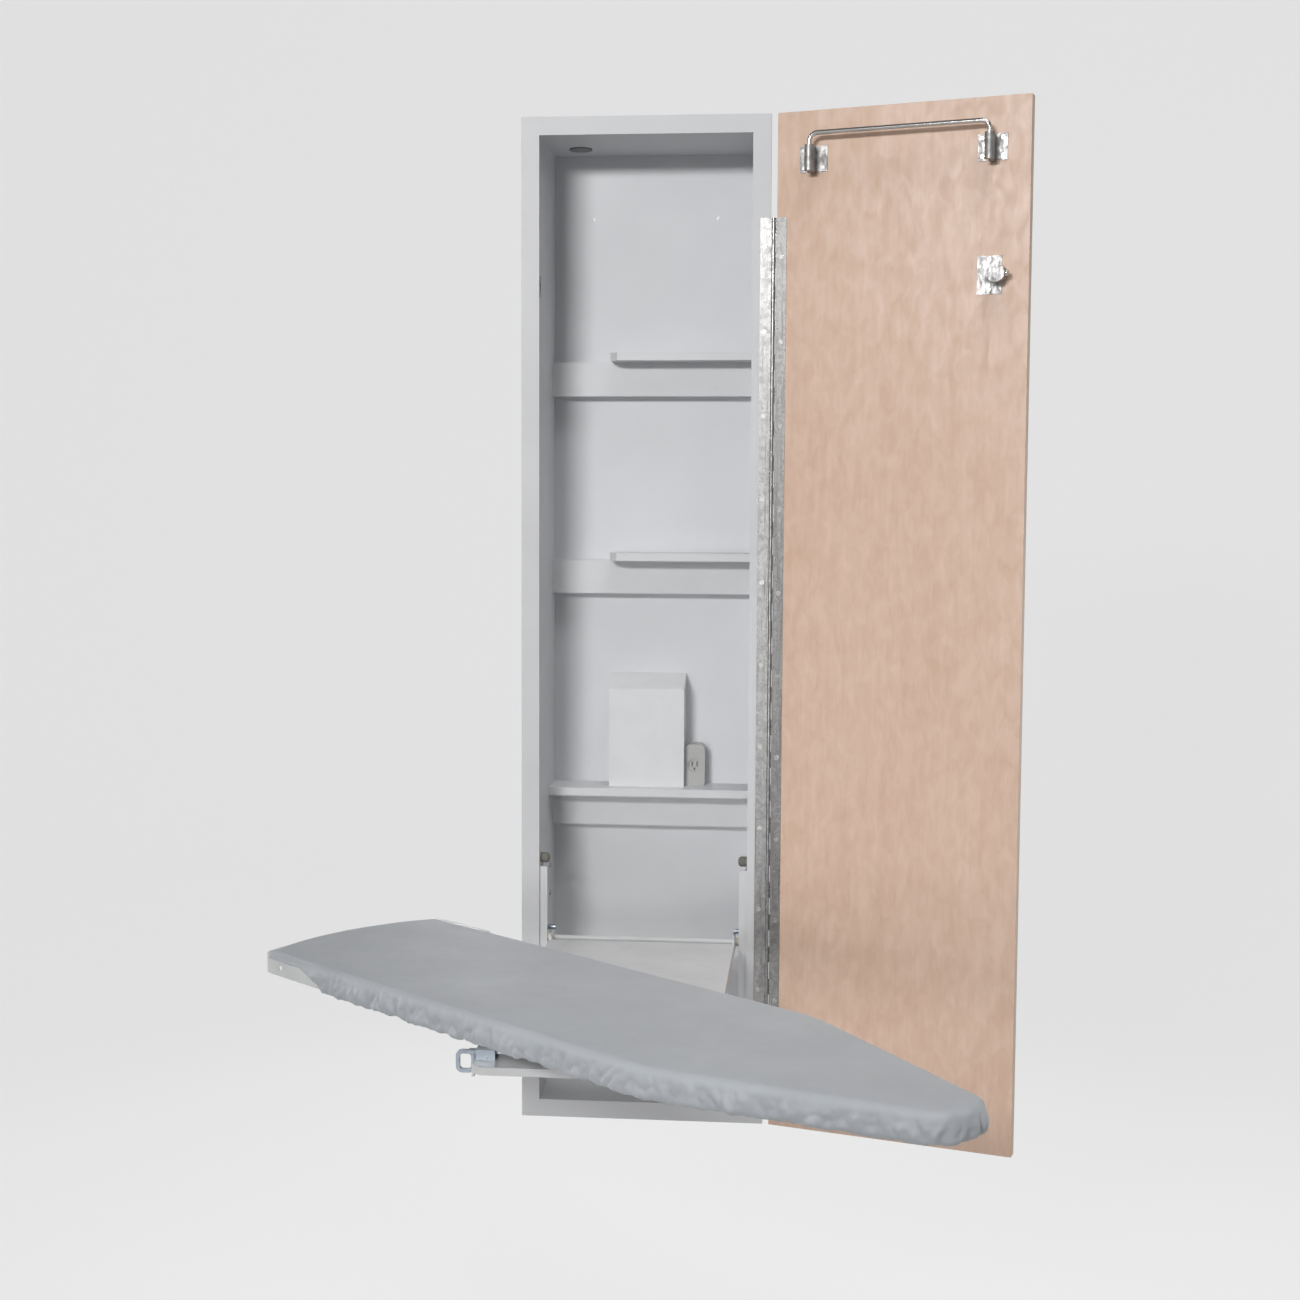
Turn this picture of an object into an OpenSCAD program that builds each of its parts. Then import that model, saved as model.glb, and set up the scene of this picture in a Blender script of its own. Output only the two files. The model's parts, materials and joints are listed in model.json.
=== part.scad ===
// Wall-held ironing board cabinet behind a mirrored door, shown in use:
// the door stands open on its long hinge and the padded board is swung to one side.
// The origin lies on the back face, in the middle of the four wall screws.
// X runs to the right, Y runs back into the wall and Z runs up. Sizes are millimetres.

/* [Cabinet] */
// Width over the face frame
cabinet_w = 381; // [360:1:420]
// Height over the face frame
cabinet_h = 1556; // [1530:1:1640]
// Depth from the front of the face frame to the back face
cabinet_d = 184; // [180:1:220]
// How far the face frame stands proud of the box on each side
frame_overhang = 9.5; // [4:0.5:14]
// Thickness of the side, top and bottom panels
side_t = 18; // [15:0.5:22]
// Thickness of the face frame from front to back
frame_t = 19; // [16:0.5:24]
// Thickness of the back panel
back_t = 6; // [3:0.5:9]
// Radius of the screw holes in the back and the sides
wall_hole_r = 2.75; // [2:0.25:3.5]
// Half the distance between the wall screws across the back
wall_screw_x = 100; // [70:1:130]
// Half the distance between the wall screws up the back
wall_screw_z = 650; // [600:1:680]
// Half the distance between the stud screws up each side
stud_screw_z = 680; // [640:1:700]
// Distance of the stud screws from the back face
stud_screw_y = 60; // [40:1:80]
// Radius of the cable hole in the top panel
cable_hole_r = 16; // [10:0.5:20]
// Distance of the cable hole to the left of the middle
cable_hole_x = 114; // [90:1:120]
// Distance of the cable hole behind the front plane
cable_hole_y = 116; // [90:1:130]

/* [Shelves] */
// Thickness of each shelf
shelf_t = 12.7; // [9:0.1:16]
// Depth of each shelf
shelf_d = 76; // [60:1:76]
// Length of the two short shelves
short_shelf_l = 228.6; // [180:0.1:280]
// Corner cut off the free end of a short shelf
shelf_chamfer = 12; // [4:1:20]
// Height of the upper shelf's top above the cabinet's lower edge
upper_shelf_h = 1209; // [1150:1:1250]
// Height of the middle shelf's top
middle_shelf_h = 891; // [850:1:950]
// Height of the lower shelf's top
lower_shelf_h = 511; // [490:1:560]
// Height of the cleat under each shelf
cleat_h = 54; // [40:1:58]
// Thickness of each cleat
cleat_t = 30; // [20:1:38]
// Width of the box on the lower shelf
box_w = 122; // [90:1:140]
// Depth of the box at its foot
box_d = 52; // [40:1:60]
// Height of the box at its front
box_front_h = 160; // [130:1:180]
// Extra height of the box at its back, where the lid slopes up
box_slope_h = 22; // [10:1:30]
// Wall of the box
box_wall = 2; // [1.5:0.5:3]
// Width of the socket beside the box
socket_w = 33; // [28:1:40]
// Height of the socket beside the box
socket_h = 68; // [50:1:80]
// Depth of the socket
socket_d = 34; // [20:1:40]

/* [Hinge] */
// Length of the long hinge
hinge_l = 1219; // [1100:1:1300]
// Distance of the hinge's upper end below the cabinet's upper edge
hinge_drop = 155; // [110:1:180]
// Number of knuckles over both leaves
knuckles = 48; // [24:2:60]
// Outer radius of the knuckles
knuckle_r = 3; // [2.5:0.1:4]
// Radius of the hinge pin
pin_r = 1.5; // [1:0.1:1.8]
// Thickness of each leaf
leaf_t = 1.2; // [0.8:0.1:1.5]
// Width of each leaf from the pin's axis
leaf_w = 20; // [15:1:24]
// Distance of the pin's axis outside the face frame
hinge_offset = 4.5; // [4:0.5:8]
// Number of screws in each leaf
hinge_screws = 10; // [6:1:14]
// Distance of the first screw in the cabinet's leaf from its upper end
first_screw_drop = 43; // [30:1:60]
// Distance of the last screw in the cabinet's leaf from its lower end
last_screw_rise = 33; // [25:1:60]
// How much lower the door's screws sit than the cabinet's
screw_stagger = 16; // [8:1:20]

/* [Door] */
// Opening angle shown: 0 is shut and 180 lies beside the cabinet
door_open = 163; // [120:1:175]
// Thickness of the veneered door panel
door_t = 19; // [16:0.5:22]
// Thickness of the edge band round the door panel
band_t = 0.8; // [0.5:0.1:1.5]
// Thickness of the mirror
mirror_t = 4; // [3:0.5:6]
// Thickness of the adhesive behind the mirror
adhesive_t = 1; // [0.5:0.1:2]
// Margin of the door round the mirror
mirror_margin = 2; // [1:0.5:10]
// Distance of the garment rod's top below the cabinet's upper edge
rod_drop = 38; // [34:1:60]
// Distance of the garment rod from the door's inner face
rod_standoff = 25; // [16:1:28]
// Radius of the garment rod
rod_r = 3.5; // [3:0.1:5]
// Inner radius of the rod's bends
rod_bend = 9; // [6:1:12]
// Distance from the hinge edge to the rod's first leg
rod_near_u = 57; // [45:1:80]
// Distance from the hinge edge to the rod's second leg
rod_far_u = 326; // [250:1:330]
// Length of each rod sleeve
sleeve_l = 38; // [25:1:45]
// Distance of the catch below the cabinet's upper edge
catch_drop = 254; // [220:1:290]
// Distance from the hinge edge to the middle of the catch
catch_u = 338; // [300:1:340]
// Radius of the catch's round body
catch_r = 13; // [10:0.5:13]
// Height of the catch's plunger above the door's inner face
catch_standoff = 18; // [14:1:20]

/* [Arm] */
// Height of the arm's pivot above the cabinet's lower edge
pivot_h = 285; // [270:1:300]
// Distance of the arm's pivot behind the front plane
pivot_back = 16; // [14:1:24]
// Radius of the pivot rod
pivot_r = 4; // [3.5:0.1:5]
// Distance from the front plane to the arm's front edge
arm_reach = 675; // [674:1:690]
// Width of the arm
arm_w = 290; // [270:1:294]
// Thickness of the arm's plate
arm_t = 2; // [1.5:0.5:3]
// Thickness of the arm's side rails
rail_t = 3; // [2:0.5:4]
// Height of the arm's plate above the pivot's axis, to its upper face
plate_rise = 3; // [2:0.5:5]
// Depth of the arm's side rails below the plate's upper face
arm_depth = 16; // [12:1:18]
// Depth of the arm's folded front lip below the plate's upper face
lip_depth = 10; // [6:1:12]
// Corner cut off the arm's front corners
arm_chamfer = 12; // [6:1:20]
// Distance from the front plane to the board's swivel axis
swivel_reach = 633; // [628:1:634]
// Radius of the swivel bolt
bolt_r = 6; // [5:0.5:8]
// Radius of the fixed race under the turntable
race_r = 40; // [34:1:40]
// Radius of the turntable
turntable_r = 44; // [42:1:48]
// Height of the swivel, from the arm's plate to the board's underside
swivel_rise = 44; // [38:1:46]
// Width of the bracket's front flange
bracket_flange = 12; // [8:0.5:14]
// Thickness of the pivot brackets
bracket_t = 3; // [2:0.5:4]

/* [Board] */
// Angle that the board is swung from straight out, nose to the right
board_turn = 50; // [0:1:90]
// Distance from the swivel axis to the board's nose
nose_l = 559; // [540:1:565]
// Distance from the swivel axis to the rear corners
rear_l = 505; // [490:1:520]
// Bow of the board's rear end
rear_bow = 23; // [10:1:30]
// Width of the board at its shoulders
board_w = 294; // [270:1:300]
// Width of the board at its rear end
rear_w = 288; // [260:1:294]
// Width of the board at the tip of its nose
nose_w = 76; // [60:1:110]
// Bow of the nose's tip
nose_bow = 7; // [4:1:12]
// Length of the taper from the shoulders to the nose
taper_l = 326; // [250:1:380]
// Depth of the board's steel rim, with the sheet
rim_h = 25; // [20:1:30]
// Thickness of the board's steel
rim_t = 1.5; // [1:0.1:2]
// Thickness of the pad
pad_t = 4; // [3:0.5:8]
// Thickness of the cover's cloth and its elastic hem
cover_t = 3; // [2:0.5:4]
// Length of bare steel at the rear end, seen from above
bare_l = 18; // [14:1:40]
// Distance from the cover's rear end to where its skirts start
skirt_start = 72; // [40:1:90]
// Distance from the cover's rear end to where its skirts reach their full depth
skirt_full = 124; // [100:1:160]

/* [Fits] */
// Radial clearance of every running fit
run_fit = 0.05; // [0.02:0.01:0.1]
// Gap between neighbours that move past each other
gap = 0.3; // [0.2:0.05:0.6]

/* [Hidden] */
$fn = 48;

frame_w = frame_overhang + side_t;
inner_w = cabinet_w - 2 * frame_w;
inner_h = cabinet_h - 2 * frame_w;
box_h = cabinet_h - 2 * frame_overhang;
front_y = -cabinet_d;
shelf_front_y = -back_t - shelf_d;
cut = 1;

hinge_x = cabinet_w / 2 + hinge_offset;
hinge_y = front_y - knuckle_r;
knuckle_l = hinge_l / knuckles;
knuckle_clear = knuckle_r + gap;
hinge_h = cabinet_h - hinge_drop - hinge_l;
first_screw_cabinet = hinge_l - first_screw_drop;
first_screw_door = first_screw_cabinet - screw_stagger;
screw_pitch = (first_screw_cabinet - last_screw_rise) / (hinge_screws - 1);
hinge_screw_r = 1.6;
hinge_head_r = 3.6;
hinge_head_h = 1;
hinge_screw_l = 14;
// A hinge screw's place between the pin's axis and the leaf's edge
screw_from_pin = (knuckle_r + leaf_w) / 2 + 1.5;
rod_h = cabinet_h - rod_drop;
catch_h = cabinet_h - catch_drop;

arm_top_h = pivot_h + plate_rise;
board_low_h = arm_top_h + swivel_rise;
sheet_top_h = board_low_h + rim_h;
swivel_y = front_y - swivel_reach;
pivot_y = front_y + pivot_back;
ear_r = 9;
tail_l = 22;
stud_r = 4;
race_t = 2;
bearing_t = 4;
turntable_t = 3;
turntable_h = arm_top_h + race_t + bearing_t + gap;
pedestal_h = turntable_h + turntable_t;
pedestal_t = 3;
board_heading = board_turn - 90;

latch_w = 12;
latch_t = turntable_t - 2 * gap;
latch_low_h = turntable_h + gap;
loop_w = 24;
loop_h = 29;
loop_t = 4;
loop_bar = 5;
loop_r = 8;

function unit(v) = v / norm(v);
function up(h) = h - cabinet_h / 2;

// An arc of radius r that rounds the corner p1 between p0 and p2
function fillet(p0, p1, p2, r, steps) =
    let (
        a = unit(p0 - p1),
        b = unit(p2 - p1),
        half = acos(a * b) / 2,
        centre = p1 + unit(a + b) * r / sin(half),
        start = p1 + a * r / tan(half) - centre,
        stop = p1 + b * r / tan(half) - centre,
        from = atan2(start.y, start.x),
        sweep = (atan2(stop.y, stop.x) - from + 900) % 360 - 180
    )
    [for (i = [0:steps]) centre + r * [cos(from + sweep * i / steps), sin(from + sweep * i / steps)]];

// A closed outline with its corners rounded; a radius of 0 keeps the corner
function rounded(points, radii, steps = 6) =
    let (n = len(points))
    [for (i = [0:n - 1])
        each (radii[i] == 0 ? [points[i]]
            : fillet(points[(i + n - 1) % n], points[i], points[(i + 1) % n], radii[i], steps))];

// ---- Cabinet ----

module panel_box(size_xyz, low) {
    translate(low) cube(size_xyz);
}

// side is -1 for left and 1 for right
module side_panel(side) {
    x_low = side > 0 ? inner_w / 2 : -inner_w / 2 - side_t;
    difference() {
        panel_box([side_t, cabinet_d - frame_t, box_h], [x_low, front_y + frame_t, -box_h / 2]);
        for (z = [-stud_screw_z, stud_screw_z])
            translate([x_low - cut, -stud_screw_y, z])
                rotate([0, 90, 0])
                    cylinder(r = wall_hole_r, h = side_t + 2 * cut);
        for (place = bracket_screw_places)
            translate([side * inner_w / 2, place[0], place[1]])
                rotate([0, side * 90, 0])
                    cylinder(r = bracket_screw_r + run_fit, h = bracket_screw_l);
    }
}

module side_panel_left() {
    color("whitesmoke") side_panel(-1);
}

module side_panel_right() {
    color("whitesmoke") side_panel(1);
}

module top_panel() {
    color("whitesmoke")
        difference() {
            panel_box([inner_w, cabinet_d - frame_t, side_t], [-inner_w / 2, front_y + frame_t, inner_h / 2]);
            translate([-cable_hole_x, front_y + cable_hole_y, inner_h / 2 - cut])
                cylinder(r = cable_hole_r, h = side_t + 2 * cut);
        }
}

module bottom_panel() {
    color("whitesmoke")
        panel_box([inner_w, cabinet_d - frame_t, side_t],
                  [-inner_w / 2, front_y + frame_t, -inner_h / 2 - side_t]);
}

module back_panel() {
    color("white")
        difference() {
            panel_box([inner_w, back_t, inner_h], [-inner_w / 2, -back_t, -inner_h / 2]);
            for (x = [-wall_screw_x, wall_screw_x], z = [-wall_screw_z, wall_screw_z])
                translate([x, -back_t - cut, z])
                    rotate([-90, 0, 0])
                        cylinder(r = wall_hole_r, h = back_t + 2 * cut);
        }
}

module stile(x_low) {
    panel_box([frame_w, frame_t, cabinet_h], [x_low, front_y, -cabinet_h / 2]);
}

module stile_left() {
    color("whitesmoke")
        difference() {
            stile(-cabinet_w / 2);
            strike_recess();
        }
}

module stile_right() {
    color("whitesmoke")
        difference() {
            stile(inner_w / 2);
            hinge_screw_set(first_screw_cabinet) hinge_pilot();
        }
}

module rail(z_low) {
    color("whitesmoke") panel_box([inner_w, frame_t, frame_w], [-inner_w / 2, front_y, z_low]);
}

module rail_top() {
    rail(inner_h / 2);
}

module rail_bottom() {
    rail(-cabinet_h / 2);
}

// ---- Shelves, cleats and what stands on them ----

module short_shelf(top_h) {
    right = inner_w / 2;
    left = right - short_shelf_l;
    color("white")
        translate([0, 0, up(top_h) - shelf_t])
            linear_extrude(shelf_t)
                polygon([[right, -back_t], [left, -back_t], [left, shelf_front_y + shelf_chamfer],
                         [left + shelf_chamfer, shelf_front_y], [right, shelf_front_y]]);
}

module upper_shelf() {
    short_shelf(upper_shelf_h);
}

module middle_shelf() {
    short_shelf(middle_shelf_h);
}

module lower_shelf() {
    color("white")
        panel_box([inner_w, shelf_d, shelf_t], [-inner_w / 2, shelf_front_y, up(lower_shelf_h) - shelf_t]);
}

// A cleat runs from wall to wall under the shelf whose top is at top_h
module cleat(top_h) {
    color("white")
        panel_box([inner_w, cleat_t, cleat_h],
                  [-inner_w / 2, -back_t - cleat_t, up(top_h) - shelf_t - cleat_h]);
}

module upper_cleat() {
    cleat(upper_shelf_h);
}

module middle_cleat() {
    cleat(middle_shelf_h);
}

module lower_cleat() {
    cleat(lower_shelf_h);
}

box_x = -6.5 - box_w / 2;
box_front_y = -back_t - box_d;

// The box's side outline, as [depth from its front, height], drawn in by a wall
function box_outline(wall) = [
    [wall, wall],
    [box_d + (wall > 0 ? cut : 0), wall],
    [box_d + (wall > 0 ? cut : 0), box_front_h + box_slope_h - wall],
    [wall, box_front_h - wall]
];

module box_prism(wall, width) {
    rotate([90, 0, 90]) linear_extrude(width) polygon(box_outline(wall));
}

module shelf_box() {
    color("white")
        translate([box_x, box_front_y, up(lower_shelf_h)])
            difference() {
                box_prism(0, box_w);
                translate([box_wall, 0, 0]) box_prism(box_wall, box_w - 2 * box_wall);
            }
}

socket_face_r = 11;
socket_face_t = 3;

module side_socket() {
    corner = 10;
    color("darkgray")
        translate([box_x + box_w, -back_t, up(lower_shelf_h)])
            rotate([90, 0, 0])
                difference() {
                    linear_extrude(socket_d)
                        polygon(rounded([[0, 0], [socket_w, 0], [socket_w, socket_h], [0, socket_h]],
                                        [0, 3, corner, corner]));
                    translate([socket_w / 2, socket_h / 2, socket_d - socket_face_t])
                        cylinder(r = socket_face_r, h = socket_face_t + cut);
                    for (x = [-4, 4])
                        translate([socket_w / 2 + x - 1, socket_h / 2 - 2, socket_d - 3 * socket_face_t])
                            cube([2, 7, 3 * socket_face_t]);
                    translate([socket_w / 2, socket_h / 2 - 6, socket_d - 3 * socket_face_t])
                        cylinder(r = 2, h = 3 * socket_face_t);
                }
}

module cable_hole_plug() {
    rim = 2;
    color("dimgray")
        translate([-cable_hole_x, front_y + cable_hole_y, inner_h / 2]) {
            translate([0, 0, -rim]) cylinder(r = cable_hole_r + rim, h = rim);
            cylinder(r = cable_hole_r - run_fit, h = side_t / 2);
        }
}

strike_t = 1.5;
strike_w = 18;
strike_l = 32;
strike_hole_r = 6;
strike_hole_d = 10;
strike_y = front_y - 2 * knuckle_r + catch_standoff;

// The strike's blank, let into the left stile from its back; deeper goes past that back
module strike_blank(deeper) {
    low_y = strike_y - strike_w / 2;
    translate([-inner_w / 2 - strike_t, low_y, up(catch_h) - strike_l / 2])
        cube([strike_t + deeper, front_y + frame_t + deeper - low_y, strike_l]);
}

module strike_hole(depth) {
    translate([-inner_w / 2 - depth, strike_y, up(catch_h)])
        rotate([0, 90, 0])
            cylinder(r = strike_hole_r, h = depth + cut);
}

module strike_recess() {
    strike_blank(cut);
    strike_hole(strike_hole_d);
}

module catch_strike() {
    color("lightslategray")
        difference() {
            strike_blank(0);
            strike_hole(strike_t + cut);
        }
}

// ---- Pivot brackets, rod and stops ----

bushing_r = pivot_r + 2.5;
flange_clear = 0.5;
bracket_front = pivot_back - bushing_r - flange_clear - bracket_t;
bracket_w = 100;
bracket_low_h = 200;
bracket_high_h = 400;
bracket_screw_r = 2;
bracket_screw_l = 14;
// The bracket screws, as [y, z]
bracket_screw_places = [
    for (h = [bracket_low_h + 15, bracket_high_h - 60, bracket_high_h - 15])
        [front_y + bracket_front + bracket_w - 14, up(h)]
];

module pivot_bracket(side) {
    color("white")
        scale_side(side)
            difference() {
                translate([inner_w / 2, front_y + bracket_front, up(bracket_low_h)])
                    rotate([0, 0, 90])
                        linear_extrude(bracket_high_h - bracket_low_h)
                            polygon([[0, 0], [bracket_w, 0], [bracket_w, bracket_t], [bracket_t, bracket_t],
                                     [bracket_t, bracket_flange], [0, bracket_flange]]);
                bore_x(inner_w / 2 - bracket_t, bracket_t, pivot_y, up(pivot_h), pivot_r + run_fit);
                bore_x(inner_w / 2 - bracket_t, bracket_t, stud_y, stud_z, stud_r + run_fit);
                for (place = bracket_screw_places)
                    bore_x(inner_w / 2 - bracket_t, bracket_t, place[0], place[1],
                           bracket_screw_r + run_fit);
            }
}

// Draws its children as they are on the right, or mirrored to the left
module scale_side(side) {
    mirror([side < 0 ? 1 : 0, 0, 0]) children();
}

module bore_x(x_low, length, y, z, r) {
    translate([x_low - cut, y, z])
        rotate([0, 90, 0])
            cylinder(r = r, h = length + 2 * cut);
}

module pivot_bracket_left() {
    pivot_bracket(-1);
}

module pivot_bracket_right() {
    pivot_bracket(1);
}

module bracket_screws() {
    color("silver")
        for (side = [-1, 1], place = bracket_screw_places)
            scale_side(side)
                translate([inner_w / 2 - bracket_t, place[0], place[1]])
                    rotate([0, 90, 0]) {
                        translate([0, 0, -2]) cylinder(r = 4, h = 2);
                        cylinder(r = bracket_screw_r, h = bracket_t + bracket_screw_l - 1);
                    }
}

module pivot_rod() {
    length = inner_w - 2 * gap;
    color("white")
        translate([-length / 2, pivot_y, up(pivot_h)])
            rotate([0, 90, 0])
                cylinder(r = pivot_r, h = length);
}

module pivot_bushings() {
    length = inner_w / 2 - bracket_t - arm_w / 2 - 2 * gap;
    color("lightgray")
        for (side = [-1, 1])
            scale_side(side)
                translate([arm_w / 2 + gap, pivot_y, up(pivot_h)])
                    rotate([0, 90, 0])
                        difference() {
                            cylinder(r = bushing_r, h = length);
                            translate([0, 0, -cut]) cylinder(r = pivot_r + run_fit, h = length + 2 * cut);
                        }
}

stud_y = pivot_y + tail_l - stud_r - 2;
stud_z = up(pivot_h) + ear_r + gap + stud_r;

module stop_studs() {
    inner_end = arm_w / 2 - rail_t - 1;
    color("dimgray")
        for (side = [-1, 1])
            scale_side(side)
                translate([inner_end, stud_y, stud_z])
                    rotate([0, 90, 0])
                        cylinder(r = stud_r, h = inner_w / 2 - inner_end - gap);
}

guide_h = 412;
guide_back = 20;

module arm_guides() {
    base_r = 8;
    length = inner_w / 2 - arm_w / 2 - 4;
    color("black")
        for (side = [-1, 1])
            scale_side(side)
                translate([inner_w / 2, front_y + guide_back, up(guide_h)])
                    rotate([0, -90, 0])
                        rotate_extrude()
                            polygon(rounded([[0, 0], [base_r, 0], [base_r, length], [0, length]],
                                            [0, 0, 5, 0]));
}

// ---- Long hinge ----

// Runs its children at each screw's height on one leaf
module hinge_screw_set(first_h) {
    for (i = [0:hinge_screws - 1])
        translate([hinge_x, hinge_y, up(hinge_h + first_h - i * screw_pitch)])
            children();
}

// A screw's axis runs back from the leaf's face, seen from the pin with the door shut
module hinge_pilot() {
    translate([-screw_from_pin, knuckle_r - leaf_t - cut, 0])
        rotate([-90, 0, 0])
            cylinder(r = hinge_screw_r + run_fit, h = hinge_screw_l + leaf_t + 2 * cut);
}

module hinge_screw() {
    translate([-screw_from_pin, knuckle_r - leaf_t, 0])
        rotate([-90, 0, 0]) {
            translate([0, 0, -hinge_head_h]) cylinder(r = hinge_head_r, h = hinge_head_h);
            cylinder(r = hinge_screw_r, h = leaf_t + hinge_screw_l);
        }
}

// One leaf with every second knuckle; first is 0 or 1
module hinge_leaf(first, first_h) {
    difference() {
        union() {
            translate([hinge_x - leaf_w, hinge_y + knuckle_r - leaf_t, up(hinge_h)])
                cube([leaf_w - knuckle_clear, leaf_t, hinge_l]);
            for (i = [first:2:knuckles - 1])
                translate([hinge_x, hinge_y, up(hinge_h) + i * knuckle_l + gap / 2]) {
                    cylinder(r = knuckle_r, h = knuckle_l - gap);
                    translate([-knuckle_clear - cut, knuckle_r - leaf_t, 0])
                        cube([knuckle_clear + cut, leaf_t, knuckle_l - gap]);
                }
        }
        translate([hinge_x, hinge_y, up(hinge_h) - cut])
            cylinder(r = pin_r + run_fit, h = hinge_l + 2 * cut);
        hinge_screw_set(first_h) hinge_pilot();
    }
}

module hinge_cabinet_leaf() {
    color("silver") hinge_leaf(0, first_screw_cabinet);
}

module hinge_cabinet_screws() {
    color("silver") hinge_screw_set(first_screw_cabinet) hinge_screw();
}

module hinge_pin() {
    color("silver")
        translate([hinge_x, hinge_y, up(hinge_h)])
            cylinder(r = pin_r, h = hinge_l);
}

// ---- Arm ----

arm_inner = arm_w / 2 - rail_t;
arm_rear_gap = 12;

// The arm's plate and folded front lip, seen from above
function arm_front(inset) = [
    [-arm_w / 2 + inset, front_y - arm_reach + arm_chamfer + inset * 0.4],
    [-arm_w / 2 + arm_chamfer + inset * 0.4, front_y - arm_reach + inset],
    [arm_w / 2 - arm_chamfer - inset * 0.4, front_y - arm_reach + inset],
    [arm_w / 2 - inset, front_y - arm_reach + arm_chamfer + inset * 0.4]
];

module arm_plate() {
    rear_y = front_y - arm_rear_gap;
    color("white")
        difference() {
            union() {
                translate([0, 0, up(arm_top_h) - arm_t])
                    linear_extrude(arm_t)
                        polygon(concat(arm_front(0), [[arm_w / 2, rear_y], [-arm_w / 2, rear_y]]));
                translate([0, 0, up(arm_top_h) - lip_depth])
                    linear_extrude(lip_depth - arm_t)
                        polygon(concat(arm_front(0), [for (i = [3:-1:0]) arm_front(rail_t)[i]]));
            }
            swivel_bore(bolt_r + run_fit);
        }
}

module swivel_bore(r) {
    translate([0, swivel_y, up(arm_top_h) - arm_depth - cut])
        cylinder(r = r, h = arm_depth + swivel_rise);
}

// A side rail with its ear round the pivot rod and the tail that meets the stop stud
module arm_rail(side) {
    color("white")
        scale_side(side)
            translate([arm_w / 2 - rail_t, pivot_y, up(pivot_h)])
                rotate([90, 0, 90])
                    difference() {
                        linear_extrude(rail_t)
                            rail_outline();
                        translate([0, 0, -cut]) cylinder(r = pivot_r + run_fit, h = rail_t + 2 * cut);
                    }
}

// The rail's side view: [distance behind the pivot, height above it]
module rail_outline() {
    front = -(arm_reach + pivot_back) + arm_chamfer + rail_t * 0.4;
    plate_rear = -(arm_rear_gap + pivot_back) + gap;
    top = plate_rise - arm_t;
    bottom = plate_rise - arm_depth;
    polygon(rounded(
        [[front, bottom], [tail_l, bottom], [tail_l, ear_r], [plate_rear, ear_r],
         [plate_rear, top], [front, top]],
        [0, 5, 3, 6, 0, 0]));
}

module arm_rail_left() {
    arm_rail(-1);
}

module arm_rail_right() {
    arm_rail(1);
}

// The stiffening channel under the plate, closed side down
module arm_rib() {
    rib_w = 60;
    rib_h = arm_depth - arm_t - 1;
    rib_l = 500;
    color("white")
        translate([-rib_w / 2, front_y - arm_rear_gap - 10 - rib_l, up(arm_top_h) - arm_t - rib_h])
            difference() {
                cube([rib_w, rib_l, rib_h]);
                translate([arm_t, -cut, arm_t]) cube([rib_w - 2 * arm_t, rib_l + 2 * cut, rib_h]);
            }
}

module swivel_ring(outer, inner, low_h, thick) {
    translate([0, swivel_y, up(low_h)])
        difference() {
            cylinder(r = outer, h = thick);
            translate([0, 0, -cut]) cylinder(r = inner, h = thick + 2 * cut);
        }
}

module lower_race() {
    color("silver") swivel_ring(race_r, bolt_r + run_fit, arm_top_h, race_t);
}

module swivel_bearing() {
    color("ivory") swivel_ring(race_r - 4, race_r - 18, arm_top_h + race_t, bearing_t);
}

// The swivel bolt with its nut below the arm's plate
module swivel_bolt() {
    head_r = 11;
    head_h = 6;
    head_low_h = pedestal_h + pedestal_t + gap;
    nut_low_h = arm_top_h - arm_t - 8;
    color("silver")
        translate([0, swivel_y, 0]) {
            translate([0, 0, up(head_low_h)]) cylinder(r = head_r, h = head_h, $fn = 6);
            translate([0, 0, up(nut_low_h) - 1]) cylinder(r = bolt_r, h = head_low_h - nut_low_h + 1);
            translate([0, 0, up(nut_low_h)])
                difference() {
                    cylinder(r = head_r, h = 8, $fn = 6);
                    translate([0, 0, -cut]) cylinder(r = bolt_r + run_fit, h = 8 + 2 * cut);
                }
        }
}

guide_w = 28;
guide_l = 24;

// The guide on the arm's left edge that the latch bar slides through
module latch_guide() {
    guide_top = latch_low_h + latch_t + 4 - arm_top_h;
    color("slategray")
        translate([-arm_w / 2 + 2, swivel_y - guide_w / 2, up(arm_top_h)])
            difference() {
                cube([guide_l, guide_w, guide_top]);
                translate([-cut, guide_w / 2 - latch_w / 2 - gap, latch_low_h - arm_top_h - gap])
                    cube([guide_l + 2 * cut, latch_w + 2 * gap, latch_t + 2 * gap]);
            }
}

// The bar whose tip rides on the turntable's rim, with its finger loop outside the arm
module latch_bar() {
    tip_x = -turntable_r - gap;
    loop_x = -arm_w / 2 - loop_w - 1;
    loop_z = up(latch_low_h) + latch_t - loop_h;
    color("slategray") {
        translate([loop_x + loop_w - loop_r, swivel_y - latch_w / 2, up(latch_low_h)])
            cube([tip_x - loop_x - loop_w + loop_r, latch_w, latch_t]);
        translate([loop_x, swivel_y + loop_t / 2, loop_z])
            rotate([90, 0, 0])
                linear_extrude(loop_t)
                    difference() {
                        polygon(loop_outline(0));
                        polygon(loop_outline(loop_bar));
                    }
    }
}

function loop_outline(inset) = rounded(
    [[inset, inset], [loop_w - inset, inset], [loop_w - inset, loop_h - inset], [inset, loop_h - inset]],
    [for (i = [0:3]) loop_r - 4 * min(inset, 1)]);

// ---- Swivel and board ----

// Moves its children from the board's own frame, nose along +X, to where the board stands
module on_board(low_h) {
    translate([0, swivel_y, up(low_h)]) rotate([0, 0, board_heading]) children();
}

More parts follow.
